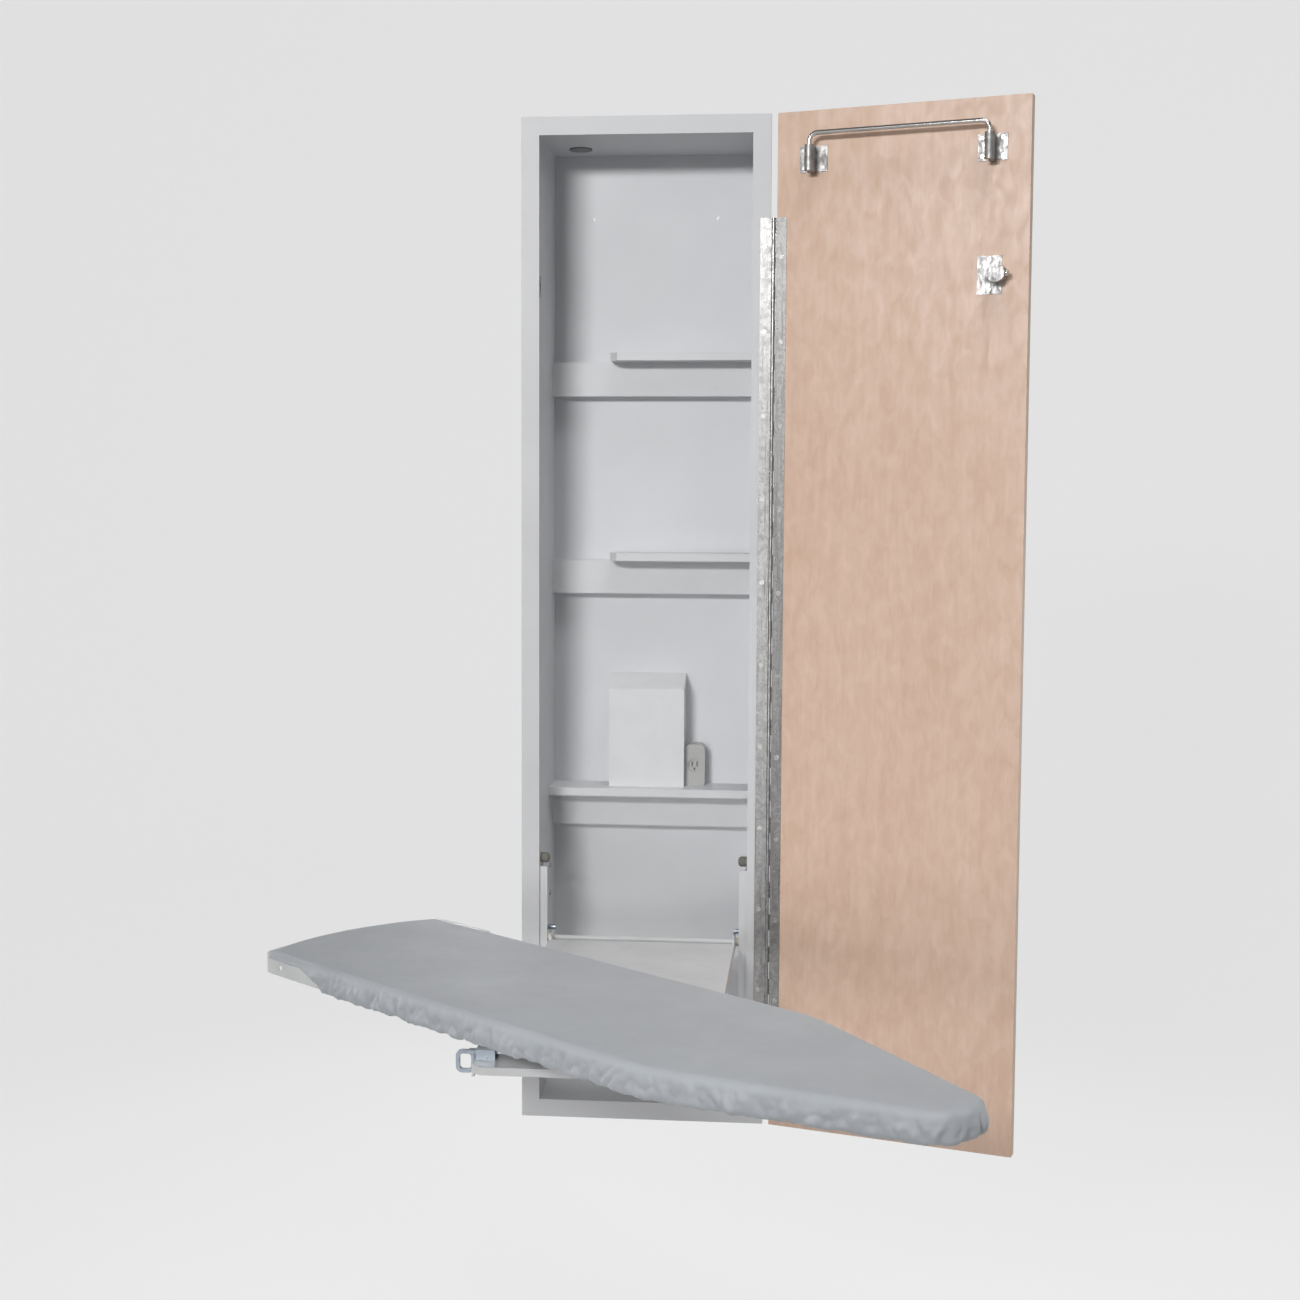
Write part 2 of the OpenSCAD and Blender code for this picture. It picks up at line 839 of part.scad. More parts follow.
// The turntable has a notch for the latch straight ahead and at each side
module turntable() {
    notch = 8;
    color("silver")
        on_board(turntable_h)
            difference() {
                cylinder(r = turntable_r, h = turntable_t);
                translate([0, 0, -cut]) cylinder(r = bolt_r + run_fit, h = turntable_t + 2 * cut);
                for (a = [0, 180, 270])
                    rotate([0, 0, a])
                        translate([turntable_r - notch, -latch_w / 2 - gap, -cut])
                            cube([2 * notch, latch_w + 2 * gap, turntable_t + 2 * cut]);
            }
}

// The pressed hat that carries the board on the turntable
module swivel_pedestal() {
    web_w = 90;
    flange = 22;
    length = 170;
    height = board_low_h - pedestal_h;
    color("white")
        on_board(pedestal_h)
            difference() {
                rotate([90, 0, 90])
                    translate([0, 0, -length / 2])
                        linear_extrude(length)
                            polygon([
                                [-web_w / 2, 0], [web_w / 2, 0],
                                [web_w / 2, height - pedestal_t], [web_w / 2 + flange, height - pedestal_t],
                                [web_w / 2 + flange, height], [web_w / 2 - pedestal_t, height],
                                [web_w / 2 - pedestal_t, pedestal_t], [-web_w / 2 + pedestal_t, pedestal_t],
                                [-web_w / 2 + pedestal_t, height], [-web_w / 2 - flange, height],
                                [-web_w / 2 - flange, height - pedestal_t],
                                [-web_w / 2, height - pedestal_t]
                            ]);
                translate([0, 0, -cut]) cylinder(r = bolt_r + run_fit, h = pedestal_t + 2 * cut);
            }
}

rib_space = 130;
rib_tube = 24;

// Two cross tubes under the sheet, which the pedestal's flanges bolt to
module cross_ribs() {
    length = rear_w - 2 * rim_t - 12;
    tube_h = rim_h - rim_t;
    wall = 1.5;
    color("white")
        on_board(board_low_h)
            for (s = [-rib_space / 2, rib_space / 2])
                translate([s - rib_tube / 2, -length / 2, 0])
                    difference() {
                        cube([rib_tube, length, tube_h]);
                        translate([wall, -cut, wall])
                            cube([rib_tube - 2 * wall, length + 2 * cut, tube_h - 2 * wall]);
                    }
}

// A point of the bowed rear end, with side running from -1 at one rear corner to 1 at the other
function rear_point(side, inset) =
    [-rear_l - rear_bow * (1 - side * side) + inset, side * (rear_w / 2 - inset)];

// The board's outline seen from above, drawn in by an inset
function board_outline(inset) =
    let (
        half = [
            [-rear_l + inset, rear_w / 2 - inset],
            [nose_l - taper_l, board_w / 2 - inset],
            [nose_l - nose_bow - inset, nose_w / 2 - inset]
        ],
        radii = [24 - inset, 200, 26 - inset],
        bow = [for (side = [0.25:0.25:0.75]) rear_point(side, inset)]
    )
    rounded(
        concat([rear_point(0, inset)], [for (p = bow) [p.x, -p.y]], [for (p = half) [p.x, -p.y]],
               [[nose_l - inset, 0]], [for (i = [2:-1:0]) half[i]], [for (i = [2:-1:0]) bow[i]]),
        concat([0, 0, 0, 0], radii, [0], [radii[2], radii[1], radii[0]], [0, 0, 0]));

module board_sheet() {
    color("white")
        on_board(sheet_top_h - rim_t)
            linear_extrude(rim_t)
                polygon(board_outline(0));
}

rear_cut = -rear_l + 40;
nose_cut = nose_l - 60;
rim_hole_r = 4;
rim_hole_back = 42;

// The folded rim between two places along the board, on one side of its middle or both
module board_rim(from_s, to_s, low_n, high_n) {
    depth = rim_h - rim_t;
    color("white")
        on_board(board_low_h)
            difference() {
                intersection() {
                    linear_extrude(depth)
                        difference() {
                            polygon(board_outline(0));
                            polygon(board_outline(rim_t));
                        }
                    translate([from_s, low_n, -cut])
                        cube([to_s - from_s, high_n - low_n, depth + 2 * cut]);
                }
                translate([-rear_l + rim_hole_back, board_w, depth / 2])
                    rotate([90, 0, 0])
                        cylinder(r = rim_hole_r, h = 2 * board_w);
            }
}

module board_rim_left() {
    board_rim(rear_cut, nose_cut, 0, board_w);
}

module board_rim_right() {
    board_rim(rear_cut, nose_cut, -board_w, 0);
}

module board_rim_nose() {
    board_rim(nose_cut, nose_l + cut, -board_w, board_w);
}

module board_rim_rear() {
    board_rim(-rear_l - rear_bow - cut, rear_cut, -board_w, board_w);
}

module board_pad() {
    color("ivory")
        on_board(sheet_top_h)
            difference() {
                linear_extrude(pad_t) polygon(board_outline(1));
                translate([-rear_l - rear_bow - cut, -board_w, -cut])
                    cube([rear_bow + bare_l + 2 + cut, 2 * board_w, pad_t + 2 * cut]);
            }
}

// ---- Cover: one cloth shell over the pad, open below and at its rear ----

cover_step = 19;
cover_lift = 0.3;
cover_crown = 1.2;
hem_drop = 3;
// How far the cloth turns down over the rim where it has no skirt
turn_down = 2;
gather = 1.4;
gather_pitch = 72;

// A line of points with extra ones between, so that none is further than step from the next
function divided(points, step) = [
    for (i = [0:len(points) - 1])
        let (
            next = points[min(i + 1, len(points) - 1)],
            parts = max(1, ceil(norm(next - points[i]) / step))
        )
        each [for (k = [0:parts - 1]) points[i] + (next - points[i]) * k / parts]
];

// The cover's left edge, from its rear end to just short of the middle of the nose
cover_rear_half = rear_w / 2 + (board_w - rear_w) / 2 * bare_l / (rear_l + nose_l - taper_l);
cover_edge = divided(
    rounded([[-rear_l + bare_l, cover_rear_half], [nose_l - taper_l, board_w / 2],
             [nose_l - nose_bow, nose_w / 2], [nose_l, 2]],
            [0, 200, 26, 0]),
    cover_step);
cover_last = len(cover_edge) - 1;
cover_run = [
    for (i = 0, d = 0;
         i <= cover_last;
         d = d + norm(cover_edge[min(i + 1, cover_last)] - cover_edge[i]), i = i + 1)
        d
];
cover_length = cover_run[cover_last];

// The point of the edge at a distance along it
function edge_point(d) = [
    lookup(d, [for (i = [0:cover_last]) [cover_run[i], cover_edge[i].x]]),
    lookup(d, [for (i = [0:cover_last]) [cover_run[i], cover_edge[i].y]])
];

// The outward direction there; at the nose it points straight ahead
function edge_normal(d) =
    let (along = unit(edge_point(min(d + 4, cover_length)) - edge_point(max(d - 4, 0))))
    d > cover_length - 4 ? [1, 0] : [-along.y, along.x];

// A point of the cover's section: how far out from the edge, and its height above the rim's foot
function cover_point(d, out, z) =
    let (p = edge_point(d) + out * edge_normal(d))
    [p.x, p.y, z];
function flip(p) = [p.x, -p.y, p.z];

// How much of the skirt is missing at a distance from the cover's rear end, from 1 to 0
function skirt_missing(d) = max(0, min(1, (skirt_full - d) / (skirt_full - skirt_start)));

// One section across the board: the left hem, over the top, the right hem, then back inside.
// The middle reaches back over the bow of the rear end.
function cover_section(k) =
    let (
        d = cover_run[k],
        missing = skirt_missing(d),
        wave = gather * sin(360 * d / gather_pitch) * (1 - missing),
        hem_z = -hem_drop + (rim_h - turn_down + hem_drop) * missing,
        inner_top = rim_h + pad_t + cover_lift,
        top = inner_top + 1.2,
        reach = rear_bow * pow(max(0, 1 - d / skirt_full), 2),
        half = [
            cover_point(d, cover_t + wave, hem_z + wave),
            cover_point(d, cover_t + 1.5 - wave / 2, (hem_z + top - 5) / 2),
            cover_point(d, cover_t - 0.5, top - 5),
            cover_point(d, cover_t / 2, inner_top + 0.5),
            cover_point(d, -5, top)
        ],
        inside = [cover_point(d, cover_lift, hem_z), cover_point(d, cover_lift, inner_top)]
    )
    concat(half, [[half[4].x - reach, 0, top + cover_crown]], [for (i = [4:-1:0]) flip(half[i])],
           [for (p = inside) flip(p)], [inside[1], inside[0]]);

cover_ring = 15;

module board_cover() {
    end = cover_last * cover_ring;
    sides = [
        for (k = [0:cover_last - 1], j = [0:cover_ring - 1])
            let (
                a = k * cover_ring + j,
                b = k * cover_ring + (j + 1) % cover_ring
            )
            each [[a, b + cover_ring, b], [a, a + cover_ring, b + cover_ring]]
    ];
    // The open rear end is a strip between the outer points and the inner ones
    rear = [
        [0, 1, 2], [0, 2, 14], [2, 13, 14], [2, 3, 13], [3, 4, 13], [4, 5, 13], [5, 12, 13],
        [5, 6, 12], [6, 7, 12], [7, 8, 12], [8, 11, 12], [8, 10, 11], [8, 9, 10]
    ];
    // The nose is closed by a narrow outer wall, an inner wall and the hem between them
    nose = [
        [10, 9, 1, 0], [9, 8, 2, 1], [8, 7, 3, 2], [7, 6, 4, 3], [6, 5, 4],
        [14, 13, 12, 11],
        [0, 14, 11, 10]
    ];
    color("lightsteelblue")
        on_board(board_low_h)
            polyhedron(
                points = [for (k = [0:cover_last]) each cover_section(k)],
                faces = concat(sides, rear, [for (f = nose) [for (v = f) v + end]]));
}

// ---- Door ----

// Moves its children from the shut door's frame: [distance from the hinge edge,
// distance off the inner face towards the cabinet, height above the cabinet's lower edge]
module on_door() {
    translate([hinge_x, hinge_y, 0])
        rotate([0, 0, door_open])
            translate([-hinge_offset, -knuckle_r, up(0)])
                mirror([1, 0, 0])
                    children();
}

module door_panel() {
    color("burlywood")
        on_door()
            difference() {
                translate([band_t, -door_t, band_t])
                    cube([cabinet_w - 2 * band_t, door_t, cabinet_h - 2 * band_t]);
                door_pilots();
            }
}

module door_edge_band() {
    color("tan")
        on_door()
            difference() {
                translate([0, -door_t, 0]) cube([cabinet_w, door_t, cabinet_h]);
                translate([band_t, -door_t - cut, band_t])
                    cube([cabinet_w - 2 * band_t, door_t + 2 * cut, cabinet_h - 2 * band_t]);
            }
}

module mirror_adhesive() {
    inset = mirror_margin + 12;
    color("gray")
        on_door()
            translate([inset, -door_t - adhesive_t, inset])
                cube([cabinet_w - 2 * inset, adhesive_t, cabinet_h - 2 * inset]);
}

module mirror_glass() {
    color("lightblue")
        on_door()
            translate([mirror_margin, -door_t - adhesive_t - mirror_t, mirror_margin])
                cube([cabinet_w - 2 * mirror_margin, mirror_t, cabinet_h - 2 * mirror_margin]);
}

// The door's leaf is the cabinet's leaf turned over, with the other knuckles
module as_door_leaf() {
    translate([hinge_x, hinge_y, 0])
        rotate([0, 0, door_open])
            mirror([0, 1, 0])
                translate([-hinge_x, -hinge_y, 0])
                    children();
}

module hinge_door_leaf() {
    color("silver") as_door_leaf() hinge_leaf(1, first_screw_door);
}

module hinge_door_screws() {
    color("silver") as_door_leaf() hinge_screw_set(first_screw_door) hinge_screw();
}

// ---- Garment rod ----

rod_plate_w = 43;
rod_plate_h = 38;
rod_plate_t = 2;
sleeve_r = 7;
sleeve_floor = 3;
leg_low_h = rod_h - rod_bend - 2 * rod_r - sleeve_l + 2;
hardware_screw_r = 1.5;
hardware_screw_l = 12;
rod_screw_rise = 13;
rod_screw_side = 15;

rod_plate_mid_h = leg_low_h + sleeve_l / 2 - 1;

catch_plate_t = 1.5;
catch_plate_w = 36;
catch_plate_h = 55;
catch_plate_back = 32;
catch_screw_rise = 21;
catch_screw_back = 14;

// The door screws, as [distance from the hinge edge, height, plate thickness below the head]
rod_screws = [
    for (u = [rod_near_u, rod_far_u], du = [-rod_screw_side, rod_screw_side],
         dz = [-rod_screw_rise, rod_screw_rise])
        [u + du, rod_plate_mid_h + dz, rod_plate_t]
];
catch_screws = [
    for (dz = [-catch_screw_rise, catch_screw_rise])
        [catch_u - catch_screw_back, catch_h + dz, catch_plate_t]
];
hardware_screws = concat(rod_screws, catch_screws);

module rod_bracket(u) {
    color("silver")
        on_door()
            difference() {
                union() {
                    translate([u - rod_plate_w / 2, 0, rod_plate_mid_h - rod_plate_h / 2])
                        cube([rod_plate_w, rod_plate_t, rod_plate_h]);
                    translate([u, rod_standoff, leg_low_h - sleeve_floor])
                        cylinder(r = sleeve_r, h = sleeve_l);
                    translate([u - 4, rod_plate_t - 0.5, leg_low_h - sleeve_floor])
                        cube([8, rod_standoff - rod_plate_t, sleeve_l]);
                }
                translate([u, rod_standoff, leg_low_h - gap])
                    cylinder(r = rod_r + 2 * run_fit, h = sleeve_l);
                for (place = rod_screws)
                    translate([place[0], -cut, place[1]])
                        rotate([-90, 0, 0])
                            cylinder(r = hardware_screw_r + run_fit, h = rod_plate_t + 2 * cut);
            }
}

module rod_bracket_near() {
    rod_bracket(rod_near_u);
}

module rod_bracket_far() {
    rod_bracket(rod_far_u);
}

module rod_elbow() {
    rotate([90, 0, 0])
        rotate_extrude(angle = 90)
            translate([rod_bend + rod_r, 0]) circle(r = rod_r);
}

// The rod with its two legs turned down into the sleeves
module garment_rod() {
    reach = rod_bend + rod_r;
    bar_h = rod_h - reach;
    color("silver")
        on_door()
            translate([0, rod_standoff, 0]) {
                translate([rod_near_u + reach, 0, bar_h]) mirror([1, 0, 0]) rod_elbow();
                translate([rod_far_u - reach, 0, bar_h]) rod_elbow();
                translate([rod_near_u + reach, 0, rod_h])
                    rotate([0, 90, 0])
                        cylinder(r = rod_r, h = rod_far_u - rod_near_u - 2 * reach);
                for (u = [rod_near_u, rod_far_u])
                    translate([u, 0, leg_low_h]) cylinder(r = rod_r, h = bar_h - leg_low_h);
            }
}

// ---- Catch ----

catch_body_h = 28;
plunger_r = 4.5;
plunger_back = 8;
plunger_tip = 5;

module catch_body() {
    color("silver")
        on_door()
            difference() {
                union() {
                    translate([catch_u - catch_plate_back, 0, catch_h - catch_plate_h / 2])
                        cube([catch_plate_w, catch_plate_t, catch_plate_h]);
                    translate([catch_u, 0, catch_h])
                        rotate([-90, 0, 0])
                            cylinder(r = catch_r, h = catch_body_h);
                }
                translate([catch_u - plunger_back - 5 - gap, catch_standoff, catch_h])
                    rotate([0, 90, 0])
                        cylinder(r = plunger_r + run_fit, h = plunger_back + 5 + catch_r + cut);
                for (place = catch_screws)
                    translate([place[0], -cut, place[1]])
                        rotate([-90, 0, 0])
                            cylinder(r = hardware_screw_r + run_fit, h = catch_plate_t + 2 * cut);
            }
}

// The sprung plunger, with a rounded tip that snaps into the strike
module catch_plunger() {
    length = plunger_back + catch_r + plunger_tip;
    color("gainsboro")
        on_door()
            translate([catch_u - plunger_back, catch_standoff, catch_h])
                rotate([0, 90, 0])
                    rotate_extrude()
                        polygon(rounded([[0, 0], [plunger_r, 0], [plunger_r, length], [0, length]],
                                        [0, 0, 3.5, 0]));
}

module door_pilots() {
    for (place = hardware_screws)
        translate([place[0], -hardware_screw_l, place[1]])
            rotate([-90, 0, 0])
                cylinder(r = hardware_screw_r + run_fit, h = hardware_screw_l + cut);
    for (i = [0:hinge_screws - 1])
        translate([screw_from_pin - hinge_offset, -hinge_screw_l - cut, hinge_h + first_screw_door - i * screw_pitch])
            rotate([-90, 0, 0])
                cylinder(r = hinge_screw_r + run_fit, h = hinge_screw_l + 2 * cut);
}

module door_hardware_screws() {
    head_h = 1.5;
    color("silver")
        on_door()
            for (place = hardware_screws)
                translate([place[0], 0, place[1]])
                    rotate([-90, 0, 0]) {
                        translate([0, 0, place[2]]) cylinder(r = 2.8, h = head_h);
                        translate([0, 0, 1 - hardware_screw_l])
                            cylinder(r = hardware_screw_r, h = hardware_screw_l - 1 + place[2]);
                    }
}

side_panel_left();
side_panel_right();
top_panel();
bottom_panel();
back_panel();
stile_left();
stile_right();
rail_top();
rail_bottom();
upper_shelf();
middle_shelf();
lower_shelf();
upper_cleat();
middle_cleat();
lower_cleat();
shelf_box();
side_socket();
cable_hole_plug();
catch_strike();
pivot_bracket_left();
pivot_bracket_right();
bracket_screws();
pivot_rod();
pivot_bushings();
stop_studs();
arm_guides();
hinge_cabinet_leaf();
hinge_cabinet_screws();
hinge_pin();
arm_plate();
arm_rail_left();
arm_rail_right();
arm_rib();
lower_race();
swivel_bearing();
swivel_bolt();
latch_guide();
latch_bar();
turntable();
swivel_pedestal();
cross_ribs();
board_sheet();
board_rim_left();
board_rim_right();
board_rim_nose();
board_rim_rear();
board_pad();
board_cover();
door_panel();
door_edge_band();
mirror_adhesive();
mirror_glass();
hinge_door_leaf();
hinge_door_screws();
rod_bracket_near();
rod_bracket_far();
garment_rod();
catch_body();
catch_plunger();
door_hardware_screws();
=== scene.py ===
"""A shallow wall cabinet with a mirrored door, open, and a padded ironing board swung to one side."""
import json
import math

import bmesh
import bpy
from mathutils import Matrix, Vector, noise


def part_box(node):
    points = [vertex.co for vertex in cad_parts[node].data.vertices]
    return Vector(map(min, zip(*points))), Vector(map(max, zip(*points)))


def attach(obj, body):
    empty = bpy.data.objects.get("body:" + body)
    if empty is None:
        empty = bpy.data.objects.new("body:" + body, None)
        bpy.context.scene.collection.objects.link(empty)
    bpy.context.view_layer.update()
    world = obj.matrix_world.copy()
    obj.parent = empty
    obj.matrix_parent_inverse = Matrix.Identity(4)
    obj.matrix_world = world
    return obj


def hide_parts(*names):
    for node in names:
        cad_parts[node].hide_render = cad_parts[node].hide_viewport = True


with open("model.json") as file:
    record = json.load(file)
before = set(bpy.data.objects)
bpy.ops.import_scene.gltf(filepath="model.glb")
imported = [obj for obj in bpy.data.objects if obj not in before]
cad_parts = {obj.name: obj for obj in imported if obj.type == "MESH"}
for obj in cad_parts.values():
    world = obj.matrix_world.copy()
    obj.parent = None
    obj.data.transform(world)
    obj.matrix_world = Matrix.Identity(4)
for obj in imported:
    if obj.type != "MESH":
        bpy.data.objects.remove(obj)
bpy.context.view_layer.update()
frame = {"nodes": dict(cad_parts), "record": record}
nodes = frame["nodes"]
scene = bpy.context.scene
MM = 0.001


# ---- Camera: fitted to the photograph from the corners of the face frame, the door and the board ----

FOCAL_PX = 1849.45
FRAME_PX = 1300
SENSOR_MM = 36.0
CAMERA_AT = (0.27106, -3.0254, 0.1915)
CAMERA_YAW = math.radians(5.244)
CAMERA_PITCH = math.radians(-4.517)
CAMERA_ROLL = math.radians(-0.27)


def make_camera():
    """The camera at the photograph's place, angle and lens."""
    camera = bpy.data.cameras.new("camera")
    camera.sensor_width = SENSOR_MM
    camera.lens = FOCAL_PX / FRAME_PX * SENSOR_MM
    holder = bpy.data.objects.new("camera", camera)
    turn = (
        Matrix.Rotation(CAMERA_YAW, 4, "Z")
        @ Matrix.Rotation(CAMERA_PITCH, 4, "X")
        @ Matrix.Rotation(CAMERA_ROLL, 4, "Y")
        @ Matrix.Rotation(math.radians(90), 4, "X")
    )
    holder.matrix_world = Matrix.Translation(CAMERA_AT) @ turn
    scene.collection.objects.link(holder)
    scene.camera = holder


# ---- Node materials ----

# The door's and the board's long sides are turned this far about z, and veneer and cloth follow them
DOOR_TURN = math.radians(17)
BOARD_TURN = math.radians(-40)


class Shader:
    """A Principled material and short ways to add its nodes."""

    def __init__(self, name, color, roughness, metallic=0.0, **settings):
        self.material = bpy.data.materials.new(name)
        self.material.use_nodes = True
        self.nodes = self.material.node_tree.nodes
        self.links = self.material.node_tree.links
        self.surface = self.nodes["Principled BSDF"]
        self.surface.inputs["Base Color"].default_value = (*color, 1)
        self.surface.inputs["Roughness"].default_value = roughness
        self.surface.inputs["Metallic"].default_value = metallic
        for socket, value in settings.items():
            self.surface.inputs[socket.replace("_", " ")].default_value = value
        self.place = self.nodes.new("ShaderNodeTexCoord").outputs["Object"]

    def mapped(self, scale=(1, 1, 1), turn_z=0.0):
        node = self.nodes.new("ShaderNodeMapping")
        node.inputs["Scale"].default_value = scale
        node.inputs["Rotation"].default_value = (0, 0, turn_z)
        self.links.new(self.place, node.inputs["Vector"])
        return node.outputs["Vector"]

    def noise(self, scale, detail=3.0, vector=None, distortion=0.0):
        node = self.nodes.new("ShaderNodeTexNoise")
        node.inputs["Scale"].default_value = scale
        node.inputs["Detail"].default_value = detail
        node.inputs["Distortion"].default_value = distortion
        self.links.new(vector or self.place, node.inputs["Vector"])
        return node.outputs["Fac"]

    def wave(self, scale, vector, distortion=0.0, detail=2.0, direction="X"):
        node = self.nodes.new("ShaderNodeTexWave")
        node.bands_direction = direction
        node.inputs["Scale"].default_value = scale
        node.inputs["Distortion"].default_value = distortion
        node.inputs["Detail"].default_value = detail
        self.links.new(vector, node.inputs["Vector"])
        return node.outputs["Fac"]

    def spread(self, value, low, high, low_in=0.3, high_in=0.7):
        node = self.nodes.new("ShaderNodeMapRange")
        node.inputs["From Min"].default_value = low_in
        node.inputs["From Max"].default_value = high_in
        node.inputs["To Min"].default_value = low
        node.inputs["To Max"].default_value = high
        self.links.new(value, node.inputs["Value"])
        return node.outputs["Result"]

    def mix_color(self, amount, first, second):
        node = self.nodes.new("ShaderNodeMix")
        node.data_type = "RGBA"
        self.links.new(amount, node.inputs["Factor"])
        for socket, color in (("A", first), ("B", second)):
            plug = [s for s in node.inputs if s.name == socket and s.type == "RGBA"][0]
            if isinstance(color, tuple):
                plug.default_value = (*color, 1)
            else:
                self.links.new(color, plug)
        return [s for s in node.outputs if s.type == "RGBA"][0]

    def math(self, kind, first, second):
        node = self.nodes.new("ShaderNodeMath")
        node.operation = kind
        for plug, value in zip(node.inputs, (first, second)):
            if isinstance(value, (int, float)):
                plug.default_value = value
            else:
                self.links.new(value, plug)
        return node.outputs["Value"]

    def color(self, value):
        self.links.new(value, self.surface.inputs["Base Color"])

    def roughness(self, value):
        self.links.new(value, self.surface.inputs["Roughness"])

    def bump(self, height, depth_m, strength=1.0):
        node = self.nodes.new("ShaderNodeBump")
        node.inputs["Strength"].default_value = strength
        node.inputs["Distance"].default_value = depth_m
        self.links.new(height, node.inputs["Height"])
        last = self.surface.inputs["Normal"].links
        if last:
            self.links.new(last[0].from_socket, node.inputs["Normal"])
        self.links.new(node.outputs["Normal"], self.surface.inputs["Normal"])

    def brighter_to_the_eye(self, color, seen_share, mirrored_share):
        """Adds a plain glow that only the camera and reflections see, so that a far backdrop stays pale."""
        glow = self.nodes.new("ShaderNodeEmission")
        glow.inputs["Color"].default_value = (*color, 1)
        path = self.nodes.new("ShaderNodeLightPath")
        seen = self.math("MULTIPLY", path.outputs["Is Camera Ray"], seen_share)
        mirrored = self.math("MULTIPLY", path.outputs["Is Glossy Ray"], mirrored_share)
        mix = self.nodes.new("ShaderNodeMixShader")
        self.links.new(self.math("MAXIMUM", seen, mirrored), mix.inputs["Fac"])
        self.links.new(self.surface.outputs["BSDF"], mix.inputs[1])
        self.links.new(glow.outputs["Emission"], mix.inputs[2])
        self.links.new(mix.outputs["Shader"], self.nodes["Material Output"].inputs["Surface"])


def shade(color, share):
    """The same colour at this share of its brightness."""
    return tuple(c * share for c in color)


def laminate(name, color, cloud_scale):
    """White laminate: a faint eggshell texture and a little grime that varies slowly."""
    made = Shader(name, color, 0.42)
    cloud = made.noise(cloud_scale, 4)
    made.color(made.mix_color(made.spread(cloud, 0, 1, 0.35, 0.7), color, shade(color, 0.93)))
    made.roughness(made.spread(made.noise(12, 3), 0.44, 0.48))
    made.bump(made.noise(900, 2), 0.00002, 0.5)
    return made.material


def powder_coat(name, color):
    """Powder-coated steel: orange peel, and a dirtier tone in broad patches."""
    made = Shader(name, color, 0.36, Coat_Weight=0.15)
    made.color(made.mix_color(made.spread(made.noise(14, 4), 0, 1), color, shade(color, 0.9)))
    made.roughness(made.spread(made.noise(60, 3), 0.28, 0.46))
    made.bump(made.noise(520, 2), 0.0001, 0.7)
    return made.material


def plated(name, color, roughness, grain=(1, 1, 1), patch_scale=18.0, dark=0.62):
    """Plated steel: brushed along one way, with cloudy patches in its colour and gloss; on the nickel
    finishes the darker colour patches are painted reflection of a darker room.
    """
    made = Shader(name, color, roughness, 1.0)
    lines = made.noise(300, 4, made.mapped(grain))
    patches = made.noise(patch_scale, 5, None, 0.7)
    made.color(made.mix_color(made.spread(patches, 0, 1, 0.4, 0.62), color, shade(color, dark)))
    mixed = made.math("MULTIPLY", lines, patches)
    made.roughness(made.spread(mixed, roughness * 0.7, roughness * 1.6, 0.1, 0.45))
    made.bump(lines, 0.00004, 0.5)
    made.bump(patches, 0.0003, 0.2)
    return made.material


def plastic(name, color, roughness=0.45):
    """Moulded plastic with a fine spark-eroded texture."""
    made = Shader(name, color, roughness)
    made.color(made.mix_color(made.spread(made.noise(22, 4), 0, 1), color, shade(color, 0.94)))
    made.roughness(made.spread(made.noise(120, 2), roughness * 0.85, roughness * 1.2))
    made.bump(made.noise(1500, 2), 0.00005, 0.6)
    return made.material


def veneer(name, light, dark, contrast):
    """Maple veneer: an even, finely mottled figure with faint fibres and pores running up the door."""
    made = Shader(name, light, 0.42, Coat_Weight=0.08, Coat_Roughness=0.3)
    fibre = made.noise(95, 4, made.mapped((1, 1, 0.05), DOOR_TURN))
    mottle = made.noise(62, 5, made.mapped((1, 1, 0.5), DOOR_TURN), 0.6)
    cloud = made.noise(5.5, 3, made.mapped((1, 1, 0.3), DOOR_TURN))
    pores = made.noise(520, 3, made.mapped((1, 1, 0.035), DOOR_TURN))
    mixed = made.math("ADD", made.math("MULTIPLY", fibre, 0.2), made.math("MULTIPLY", mottle, 0.52))
    mixed = made.math("ADD", mixed, made.math("MULTIPLY", cloud, 0.28))
    base = made.mix_color(made.spread(mixed, 0, contrast, 0.36, 0.64), light, dark)
    made.color(made.mix_color(made.spread(pores, 0, 0.3, 0.56, 0.75), base, shade(dark, 0.84)))
    made.roughness(made.spread(mottle, 0.36, 0.5))
    made.bump(pores, 0.00005, 0.5)
    made.bump(mottle, 0.00008, 0.25)
    return made.material


def cloth(name, color, turn_z):
    """Coated cotton: a plain weave, a silver sheen and slightly uneven colour."""
    made = Shader(name, color, 0.62, Sheen_Weight=0.25, Sheen_Roughness=0.45)
    warp = made.wave(330, made.mapped((1, 1, 1), turn_z), 0.6, 1.0, "X")
    weft = made.wave(330, made.mapped((1, 1, 1), turn_z), 0.6, 1.0, "Y")
    weave = made.math("MULTIPLY", warp, weft)
    cloud = made.noise(9, 5)
    base = made.mix_color(made.spread(cloud, 0, 1), color, shade(color, 0.9))
    made.color(made.mix_color(made.spread(weave, 0.3, 0, 0, 1), base, shade(color, 0.8)))
    made.roughness(made.spread(made.noise(40, 3), 0.52, 0.72))
    made.bump(weave, 0.00012, 0.5)
    made.bump(made.noise(130, 4), 0.00035, 0.35)
    return made.material


def felt(name, color):
    """Pressed felt."""
    made = Shader(name, color, 0.95, Sheen_Weight=0.3)
    fibres = made.noise(900, 5, None, 1.5)
    made.color(made.mix_color(made.spread(fibres, 0, 1), color, shade(color, 0.72)))
    made.bump(fibres, 0.0004, 0.9)
    return made.material


def mirror(name):
    """Silvered glass, with a trace of haze from wiping."""
    made = Shader(name, (0.90, 0.93, 0.92), 0.02, 1.0)
    made.roughness(made.spread(made.noise(7, 4, made.mapped((1, 1, 0.4), 0.4)), 0.012, 0.035))
    return made.material


